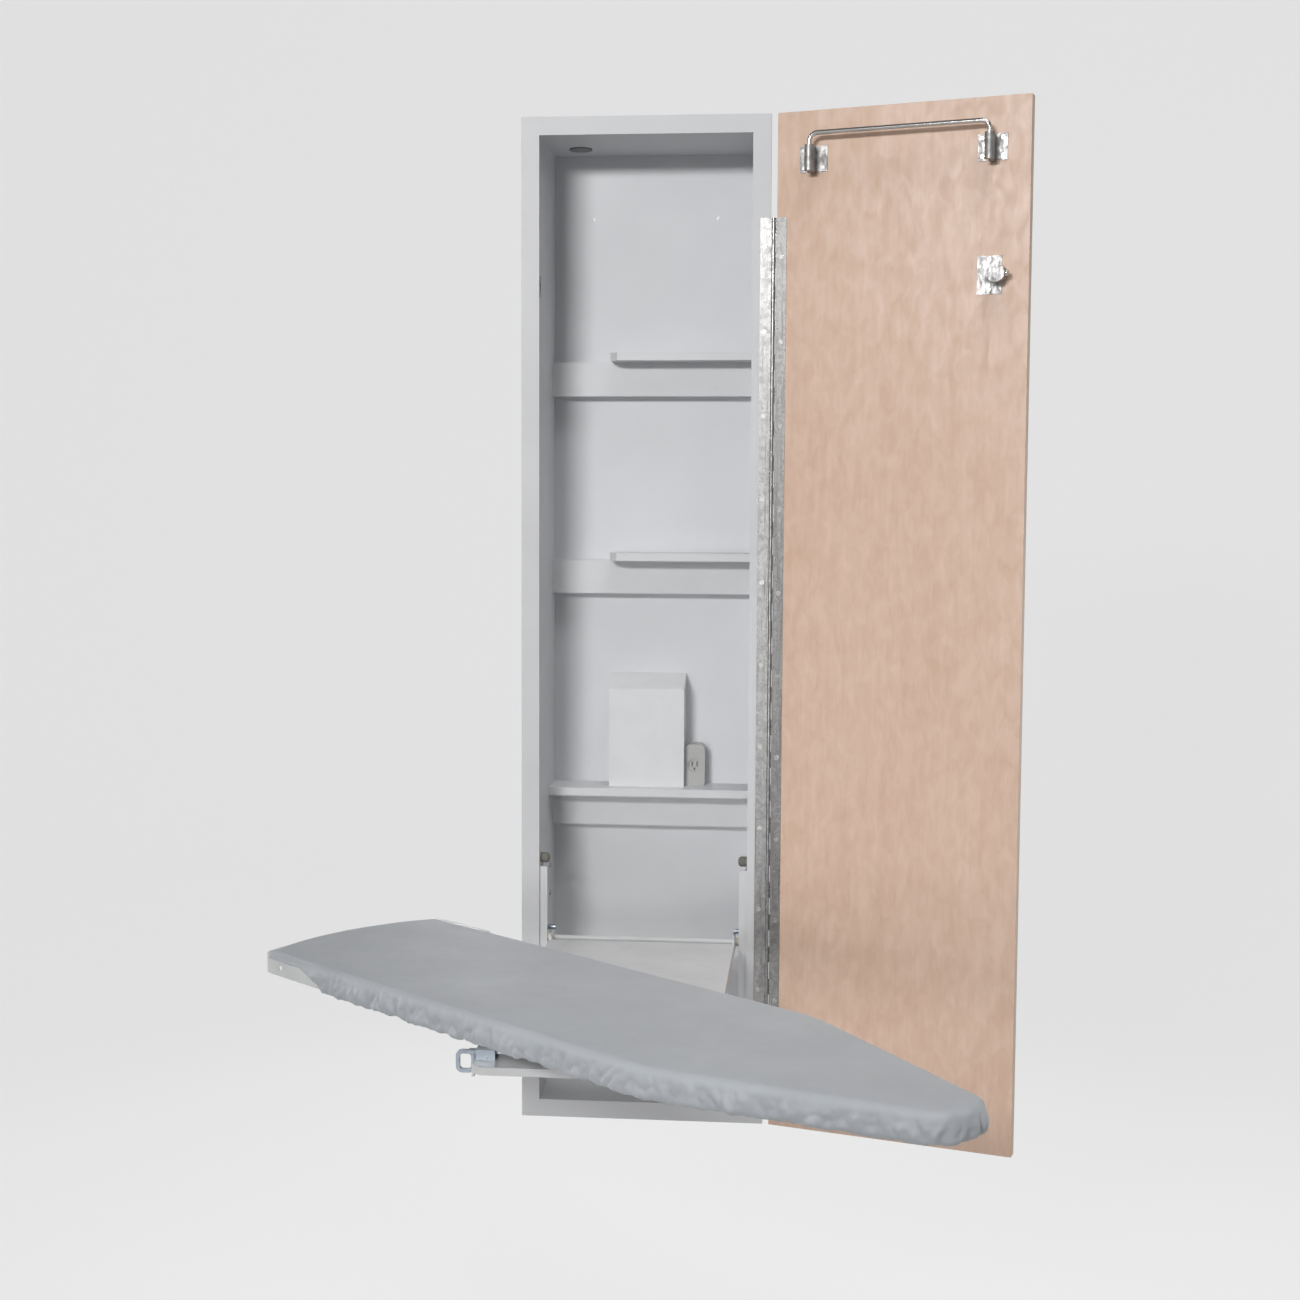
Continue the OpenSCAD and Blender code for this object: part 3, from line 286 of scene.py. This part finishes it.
def rubber(name, color):
    """Matt rubber or set adhesive, a little uneven in gloss."""
    made = Shader(name, color, 0.7)
    made.roughness(made.spread(made.noise(160, 3), 0.6, 0.82))
    made.color(made.mix_color(made.noise(55, 4), color, shade(color, 1.6)))
    made.bump(made.noise(1100, 3), 0.00008, 0.7)
    return made.material


FINISHES = {
    "cabinet_white": laminate("cabinet_white", (0.66, 0.665, 0.68), 5.0),
    "shelf_white": laminate("shelf_white", (0.68, 0.685, 0.70), 7.0),
    "back_white": laminate("back_white", (0.71, 0.715, 0.735), 4.0),
    "steel_white": powder_coat("steel_white", (0.70, 0.705, 0.71)),
    "steel_zinc": plated("steel_zinc", (0.42, 0.47, 0.53), 0.3, (1, 1, 0.1)),
    # Nickel: the low colour of plain and satin nickel, and the darker patches of all three, are painted
    # reflection of a darker room mirrored in the plating
    "nickel": plated("nickel", (0.37, 0.365, 0.36), 0.3, (1, 1, 0.04), 110.0, 0.68),
    "nickel_satin": plated("nickel_satin", (0.39, 0.385, 0.38), 0.46, (1, 1, 0.3), 90.0, 0.72),
    "nickel_bright": plated("nickel_bright", (0.60, 0.58, 0.56), 0.14, (1, 1, 1), 30.0, 0.85),
    "screw_steel": plated("screw_steel", (0.60, 0.59, 0.57), 0.28),
    "box_white": plastic("box_white", (0.735, 0.74, 0.745)),
    "socket_grey": plastic("socket_grey", (0.45, 0.45, 0.44)),
    "plug_grey": plastic("plug_grey", (0.20, 0.20, 0.21)),
    "guide_black": rubber("guide_black", (0.13, 0.125, 0.11)),
    "bearing_ivory": plastic("bearing_ivory", (0.72, 0.68, 0.56)),
    "maple": veneer("maple", (0.765, 0.555, 0.44), (0.655, 0.44, 0.32), 1.0),
    "maple_edge": veneer("maple_edge", (0.74, 0.54, 0.42), (0.60, 0.42, 0.31), 0.8),
    "adhesive": rubber("adhesive", (0.28, 0.28, 0.27)),
    "mirror": mirror("mirror"),
    "pad_felt": felt("pad_felt", (0.74, 0.72, 0.64)),
    "cover_cloth": cloth("cover_cloth", (0.47, 0.495, 0.525), BOARD_TURN),
}
EDGE_BEVEL = 0.7 * MM
SHEET_METAL_BEVEL = 0.3 * MM
BEVEL_FROM = math.radians(40)
NODE_SLOTS = {entry["node"]: entry["material_slot"] for entry in frame["record"]["subparts"]}
# Nodes of the nickel slot that are polished or satin instead
NICKEL_GLOSS = {
    "garment_rod": "nickel_bright",
    "catch_plunger": "nickel_bright",
    "catch_body": "nickel_satin",
    "rod_bracket_near": "nickel_satin",
    "rod_bracket_far": "nickel_satin",
}
# Nodes of thin sheet, by how their names begin: they take the smaller bevel
SHEET_METAL = ("arm_", "board_", "hinge_", "pivot_bracket", "swivel_pedestal", "cross_ribs", "catch_strike")


def dress_nodes():
    """Every CAD node gets its material, and a small bevel so that its edges catch the light."""
    for name, node in nodes.items():
        node.data.materials.clear()
        node.data.materials.append(FINISHES[NICKEL_GLOSS.get(name, NODE_SLOTS[name])])
        bevel = node.modifiers.new("edges", "BEVEL")
        bevel.width = SHEET_METAL_BEVEL if name.startswith(SHEET_METAL) else EDGE_BEVEL
        bevel.segments = 2
        bevel.limit_method = "ANGLE"
        bevel.angle_limit = BEVEL_FROM
        bevel.harden_normals = True


# ---- The board's outline, in its own frame: x towards the nose, y to its left, in millimetres ----

SWIVEL = Vector((0, -817, 0)) * MM
# From the swivel to the nose's tip, the tip's bow, and the nose's width at its rounded corners
NOSE_L = 559.0
NOSE_BOW = 7.0
NOSE_W = 76.0
NOSE_R = 26
# From the swivel to the rear corners, the rear end's bow beyond them, its width, and its bare rim
REAR_L = 505.0
REAR_BOW = 23.0
REAR_W = 288.0
BARE_L = 18.0
# The widest place, how far from the nose it is, and the rounding of the edge there
BOARD_W = 294.0
TAPER_L = 326.0
TAPER_R = 200
# The lines across the board meet at a point this far short of the nose, and fan out from there
NOSE_FAN = 60.0
# Along the edge from its rear end, the skirt is short up to the first place and full from the second
SKIRT_START = 72.0
SKIRT_FULL = 124.0
SHEET_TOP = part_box("board_sheet")[1].z / MM
RIM_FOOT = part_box("board_rim_left")[0].z / MM
PAD_T = 4.0
# The cover and the pad are made of rows of points, this far apart along their edge
STATION_STEP = 2.2
# The edge's direction is taken over this far each way, and turns to face ahead this close to the nose
EDGE_LOOK = 5
NOSE_FADE = 12
WELD = 0.02 * MM


def rounded(corners, radii, steps=16):
    """The line through these corners with each inner one rounded."""
    line = []
    for i, (corner, radius) in enumerate(zip(corners, radii)):
        if radius == 0:
            line.append(corner)
            continue
        back = (corners[i - 1] - corner).normalized()
        ahead = (corners[i + 1] - corner).normalized()
        half = math.acos(back.dot(ahead)) / 2
        centre = corner + (back + ahead).normalized() * radius / math.sin(half)
        start = corner + back * radius / math.tan(half) - centre
        stop = corner + ahead * radius / math.tan(half) - centre
        turn = start.angle_signed(stop)
        for k in range(steps + 1):
            angle = -turn * k / steps
            line.append(centre + Matrix.Rotation(angle, 2) @ start)
    return line


COVER_REAR_HALF = REAR_W / 2 + (BOARD_W - REAR_W) / 2 * BARE_L / (REAR_L + NOSE_L - TAPER_L)
LEFT_EDGE = rounded(
    [
        Vector((-REAR_L + BARE_L, COVER_REAR_HALF)),
        Vector((NOSE_L - TAPER_L, BOARD_W / 2)),
        Vector((NOSE_L - NOSE_BOW, NOSE_W / 2)),
        Vector((NOSE_L, 0)),
    ],
    [0, TAPER_R, NOSE_R, 0],
)


class Edge:
    """Looks up a point and the outward direction by distance along the left edge."""

    def __init__(self, line):
        self.line = line
        self.run = [0.0]
        for a, b in zip(line, line[1:]):
            self.run.append(self.run[-1] + (b - a).length)
        self.length = self.run[-1]

    def point(self, d):
        d = min(max(d, 0.0), self.length)
        i = next(i for i in range(1, len(self.run)) if d <= self.run[i] + 1e-9)
        share = (d - self.run[i - 1]) / (self.run[i] - self.run[i - 1])
        return self.line[i - 1].lerp(self.line[i], share)

    def outward(self, d):
        along = (self.point(d + EDGE_LOOK) - self.point(d - EDGE_LOOK)).normalized()
        normal = Vector((-along.y, along.x))
        fade = min(1.0, max(0.0, (self.length - d) / NOSE_FADE))
        return (normal * fade + Vector((1, 0)) * (1 - fade)).normalized()


EDGE = Edge(LEFT_EDGE)


def on_board(x, y, z):
    """A point beside the swivel in the board's own frame, at the scene's height z, as a place in metres."""
    flat = Matrix.Rotation(BOARD_TURN, 3, "Z") @ Vector((x, y, 0)) * MM
    return Vector((SWIVEL.x + flat.x, SWIVEL.y + flat.y, z * MM))


def piece(name, points, faces, slot_name, body):
    """A smooth mesh of its own, welded where its halves meet, with its finish and the body it rides on."""
    mesh = bpy.data.meshes.new(name)
    mesh.from_pydata([tuple(p) for p in points], [], faces)
    mesh.materials.append(FINISHES[slot_name])
    made = bpy.data.objects.new(name, mesh)
    scene.collection.objects.link(made)
    shape = bmesh.new()
    shape.from_mesh(mesh)
    bmesh.ops.remove_doubles(shape, verts=shape.verts, dist=WELD)
    bmesh.ops.recalc_face_normals(shape, faces=shape.faces)
    shape.to_mesh(mesh)
    shape.free()
    for face in mesh.polygons:
        face.use_smooth = True
    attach(made, body)
    return made


def across(d, share, inset):
    """A point on the line from the board's middle to its edge; it bows back at the rear end."""
    edge = EDGE.point(d) - EDGE.outward(d) * inset
    flat = Vector((min(EDGE.point(d).x, NOSE_L - NOSE_FAN), 0)).lerp(edge, share)
    flat.x -= REAR_BOW * max(0.0, 1 - d / SKIRT_FULL) ** 2 * (1 - share * share)
    return flat


def lofted(rows_of):
    """Quads over both halves of the board; rows_of gives a half's points at a distance along it."""
    stations = math.ceil(EDGE.length / STATION_STEP)
    points, faces = [], []
    for side in (1, -1):
        first = len(points)
        for k in range(stations + 1):
            rows = rows_of(EDGE.length * k / stations, side)
            points += [on_board(x, side * y, z) for x, y, z in rows]
        deep = len(rows)
        for k in range(stations):
            for j in range(deep - 1):
                a = first + k * deep + j
                quad = [a, a + 1, a + 1 + deep, a + deep]
                faces.append(quad if side == 1 else quad[::-1])
    return points, faces


# ---- Cover ----

COVER_RISE = 1.6
COVER_TOP = SHEET_TOP + PAD_T + COVER_RISE
TOP_SHARES = [0.0, 0.2, 0.4, 0.55, 0.68, 0.78, 0.86, 0.92, 0.96, 1.0]
TOP_INSET = 9.0
CROWN = 1.1
CLOTH_T = 0.7 * MM
# The top's low swells: their height, and their length along and across the board
SWELL_H = 0.5
SWELL_L = 90
SWELL_W = 60
# The gathers pull at the top's outer part
PULL_H = 0.3
PULL_FROM = 0.75
# The skirt's folds: how far gathers and creases push it out, and how far it stays off the rim below a drop
GATHER_PUSH = 0.8
CREASE_PUSH = 1.3
CLEAR_OF_RIM = 0.9
RIM_DROP = 4.8
# Where the skirt is cut back: calmer folds, a calmer hem, a closer fit, and how it passes over to that
REAR_CALM = 0.8
REAR_HEM_CALM = 0.6
REAR_OUT = 1.4
REAR_TIGHT = 0.55
REAR_ENTRY = 5
REAR_CURVE = 0.7
# The hem: how far it hangs below the rim, rises and falls, and tucks in under it
HEM_BELOW_RIM = 2.6
HEM_WAVE = 2.4
HEM_SCALLOP = 2.6
HEM_SCALLOP_L = 19
HEM_SAG = 1.0
TUCK_DROP = 31.5
TUCK_CLEAR = 0.6
# Gathers: their spacing, how far it wanders and over what length, and the length of two longer waves
GATHER_L = 17
WANDER = 16
WANDER_L = 70
BROAD_L = 34
SLOW_L = 95
# Creases: their spacing and their strength; how far they lean, and how tall and how puffed they are
CREASES = [(27, 1.15), (14, 0.95), (8, 0.35)]
CREASE_LEAN = 34
CREASE_TALL = 1.5
PUFF = 2.1
PUFF_MEAN = 0.42
# The shoulder and the skirt: distance out from the edge, drop from the top, strength of the folds
SHOULDER = [
    (-6.6, 0.2, 0.2), (-4.2, 0.8, 0.3), (-1.8, 1.9, 0.4), (0.4, 3.7, 0.5), (1.7, 5.6, 0.65), (2.4, 7.6, 0.8),
]
SKIRT = [
    (2.8, 9.4, 0.95), (3.1, 11.2, 1.1), (3.3, 13.0, 1.3), (3.5, 14.8, 1.5), (3.7, 16.6, 1.65),
    (3.8, 18.4, 1.8), (3.9, 20.2, 1.95), (4.0, 22.0, 2.05), (4.0, 23.8, 2.15), (3.9, 25.6, 2.2),
    (3.7, 27.4, 2.2), (3.3, 29.0, 2.2), (2.6, 30.6, 2.1), (1.4, 32.2, 1.9), (-0.4, 33.4, 1.6),
    (-2.8, 33.9, 1.3), (-5.6, 33.6, 1.0), (-8.5, 33.2, 0.9),
]
FULL_DROP = 33.9
SHORT_DROP = 9.8


def gathers(s):
    """How far the gathered skirt stands out at a place along the whole hem, from about -1 to 1."""
    warp = WANDER * noise.noise(Vector((s / WANDER_L, 1.7, 0)))
    fine = math.sin((s + warp) / GATHER_L * math.tau)
    broad = noise.noise(Vector((s / BROAD_L, 8.3, 2.0)))
    slow = noise.noise(Vector((s / SLOW_L, 4.1, 5.0)))
    return 0.3 * fine * (0.5 + abs(slow)) + 0.7 * broad + 0.45 * slow


def crumple(s, drop):
    """Puffs between narrow creases that lean one way or the other as they climb the skirt."""
    lean = CREASE_LEAN * noise.noise(Vector((s / WANDER_L, 0.4, 11.0)))
    along = s + lean * drop / FULL_DROP
    value = 0.0
    for size, weight in CREASES:
        place = Vector((along / size, drop / (size * CREASE_TALL), size))
        value += weight * (PUFF * abs(noise.noise(place)) - PUFF_MEAN)
    return value


def cover_rows(d, side):
    """The cover from the board's middle line out to its edge, down its skirt and under its hem."""
    s = d if side == 1 else 2 * EDGE.length - d
    rows = []
    for share in TOP_SHARES:
        flat = across(d, share, TOP_INSET)
        swell = SWELL_H * noise.noise(Vector((flat.x / SWELL_L, side * flat.y / SWELL_W, 3.0)))
        pull = PULL_H * gathers(s) * max(0.0, share - PULL_FROM) / (1 - PULL_FROM)
        rows.append((flat.x, flat.y, COVER_TOP + CROWN * (1 - share * share) + swell + pull))
    missing = min(1.0, max(0.0, (SKIRT_FULL - d) / (SKIRT_FULL - SKIRT_START)))
    lowest = FULL_DROP - (FULL_DROP - SHORT_DROP) * missing ** REAR_CURVE
    outside = min(1.0, missing * REAR_ENTRY)
    depth = COVER_TOP - (RIM_FOOT - HEM_BELOW_RIM)
    wave = gathers(s)
    for off, drop, strength in SHOULDER + SKIRT:
        turn = drop
        if drop > SHOULDER[-1][1]:
            top = SHOULDER[-1][1]
            turn = top + (drop - top) * (lowest - top) / (FULL_DROP - top)
        off += (max(off, REAR_OUT) - off) * outside
        off -= max(off, 0.0) * REAR_TIGHT * missing
        folds = GATHER_PUSH * wave + CREASE_PUSH * crumple(s, drop)
        push = off + strength * (1 - REAR_CALM * missing) * folds
        if turn > RIM_DROP and (drop < TUCK_DROP or outside > 0):
            push = max(push, CLEAR_OF_RIM)
        scallop = noise.noise(Vector((s / HEM_SCALLOP_L, 6.6, 1.0)))
        hem = HEM_WAVE * wave + HEM_SCALLOP * scallop - HEM_SAG
        lift = hem * (drop / FULL_DROP) ** 3 * (1 - REAR_HEM_CALM * outside)
        z = COVER_TOP - turn * depth / FULL_DROP + lift
        if drop > TUCK_DROP and outside == 0:
            z = min(z, RIM_FOOT - TUCK_CLEAR)
        point = EDGE.point(d) + EDGE.outward(d) * push
        rows.append((point.x, point.y, z))
    return rows


def make_cover():
    """The stretched cover, with the thickness of its cloth on its outside."""
    points, faces = lofted(cover_rows)
    cover = piece("cover", points, faces, "cover_cloth", "board")
    thickness = cover.modifiers.new("cloth", "SOLIDIFY")
    thickness.thickness = CLOTH_T
    thickness.offset = 1.0
    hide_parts("board_cover")


# ---- Pad ----

# The pad's section, as the share of the way out to its edge and the height above the sheet
PAD_ROWS = [
    (0.0, 0.15), (0.6, 0.15), (1.0, 0.2), (0.995, 1.5), (1.0, 2.6), (0.992, 3.5), (0.97, 3.95), (0.8, 4.1),
    (0.4, 4.15), (0.0, 4.15),
]
# It stops short of the cover's edge and of its rear end, and has low lumps
PAD_INSET = 1.4
PAD_SHORT = 2
PAD_LUMP = 14
PAD_LUMP_H = 0.12


def pad_rows(d, side):
    """The pad's section at a distance along the board, held inside its bowed rear end."""
    rows = []
    for share, z in PAD_ROWS:
        flat = across(d, share, PAD_INSET)
        bow = REAR_BOW * (1 - (2 * flat.y / REAR_W) ** 2)
        rise = PAD_LUMP_H * noise.noise(Vector((flat.x / PAD_LUMP, side * flat.y / PAD_LUMP, z)))
        rows.append((max(flat.x, -REAR_L + BARE_L + PAD_SHORT - bow), flat.y, SHEET_TOP + z + rise))
    return rows


def make_pad():
    """A felt slab with soft edges, a little uneven on top, closed at its rear end."""
    points, faces = lofted(pad_rows)
    deep = len(PAD_ROWS)
    half = len(points) // 2
    faces.append(list(range(deep))[::-1])
    faces.append(list(range(half, half + deep)))
    pad = piece("pad", points, faces, "pad_felt", "board")
    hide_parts("board_pad")


# ---- Studio ----

FLOOR_Z = -1.28
ROOM_R = 7.5
ROOM_BEND = 2.5
BEND_STEPS = 10
ROOM_TOP = 6.0
ROOM_MIDDLE_Y = -0.5
ROOM_TURNS = 96
# How bright the room looks to the camera and in reflections, and how bright the sky lights and looks
ROOM_SEEN = 0.7
ROOM_MIRRORED = 0.43
SKY_LIGHT = 0.195
SKY_SEEN = 0.76
# Lamps: name, place, aim and size in metres, power in watts, spread in degrees
LAMPS = [
    ("key", (-1.05, -4.3, 1.35), (-0.1, -0.2, 0.7), (1.2, 0.35), 15.2, 72),
    ("fill", (-0.9, -4.4, -0.3), (0.1, -0.9, -0.6), (0.9, 0.9), 1.7, 36),
    ("back", (-0.4, 3.4, -0.45), (0.0, 0.0, 0.25), (1.6, 0.3), 19, 90),
    ("left", (-4.2, 1.2, -0.4), (-0.2, 0.0, -0.05), (1.0, 1.0), 7.5, 60),
    ("right", (4.2, 1.8, -0.4), (0.2, 0.0, -0.05), (1.0, 1.0), 6, 60),
    ("top", (0.8, -1.5, 2.6), (0.5, -0.8, -0.5), (1.4, 1.4), 6.4, 60),
]


def make_room():
    """A pale floor that curves up into a pale round backdrop, the same from every side."""
    profile = [(0.0, 0.0), (1.5, 0.0), (3.0, 0.0), (ROOM_R - ROOM_BEND, 0.0)]
    for k in range(1, BEND_STEPS + 1):
        bend = math.radians(90 / BEND_STEPS * k)
        profile.append((ROOM_R - ROOM_BEND + ROOM_BEND * math.sin(bend), ROOM_BEND * (1 - math.cos(bend))))
    profile.append((ROOM_R, ROOM_TOP))
    points, faces = [], []
    for k in range(ROOM_TURNS):
        angle = math.tau * k / ROOM_TURNS
        points += [
            (r * math.cos(angle), r * math.sin(angle) + ROOM_MIDDLE_Y, FLOOR_Z + z)
            for r, z in profile
        ]
    deep = len(profile)
    for k in range(ROOM_TURNS):
        a, b = k * deep, (k + 1) % ROOM_TURNS * deep
        faces += [[a + j, b + j, b + j + 1, a + j + 1] for j in range(deep - 1)]
    mesh = bpy.data.meshes.new("room")
    mesh.from_pydata(points, [], faces)
    for face in mesh.polygons:
        face.use_smooth = True
    paint = Shader("room_paint", (0.80, 0.80, 0.80), 0.9)
    paint.color(paint.mix_color(paint.noise(0.8, 3), (0.80, 0.80, 0.80), (0.78, 0.78, 0.78)))
    paint.brighter_to_the_eye((1.0, 1.0, 1.0), ROOM_SEEN, ROOM_MIRRORED)
    mesh.materials.append(paint.material)
    room = bpy.data.objects.new("room", mesh)
    scene.collection.objects.link(room)


def softbox(name, place, target, size, power, spread):
    """A rectangular lamp that the camera itself can't see."""
    light = bpy.data.lights.new(name, "AREA")
    light.spread = math.radians(spread)
    light.shape = "RECTANGLE"
    light.size, light.size_y = size
    light.energy = power
    holder = bpy.data.objects.new(name, light)
    aim = Vector(target) - Vector(place)
    holder.rotation_mode = "QUATERNION"
    holder.rotation_quaternion = aim.to_track_quat("-Z", "Y")
    holder.location = place
    holder.visible_camera = False
    scene.collection.objects.link(holder)


def light_scene():
    """The lamps, and a sky above the room that lights the object less than it shows."""
    world = bpy.data.worlds.new("studio")
    world.use_nodes = True
    tree = world.node_tree
    background = tree.nodes["Background"]
    background.inputs["Color"].default_value = (0.98, 0.99, 1.0, 1)
    path = tree.nodes.new("ShaderNodeLightPath")
    strength = tree.nodes.new("ShaderNodeMapRange")
    strength.inputs["To Min"].default_value = SKY_LIGHT
    strength.inputs["To Max"].default_value = SKY_SEEN
    tree.links.new(path.outputs["Is Camera Ray"], strength.inputs["Value"])
    tree.links.new(strength.outputs["Result"], background.inputs["Strength"])
    scene.world = world
    for lamp in LAMPS:
        softbox(*lamp)
    scene.view_settings.view_transform = "Standard"


make_camera()
dress_nodes()
make_pad()
make_cover()
make_room()
light_scene()
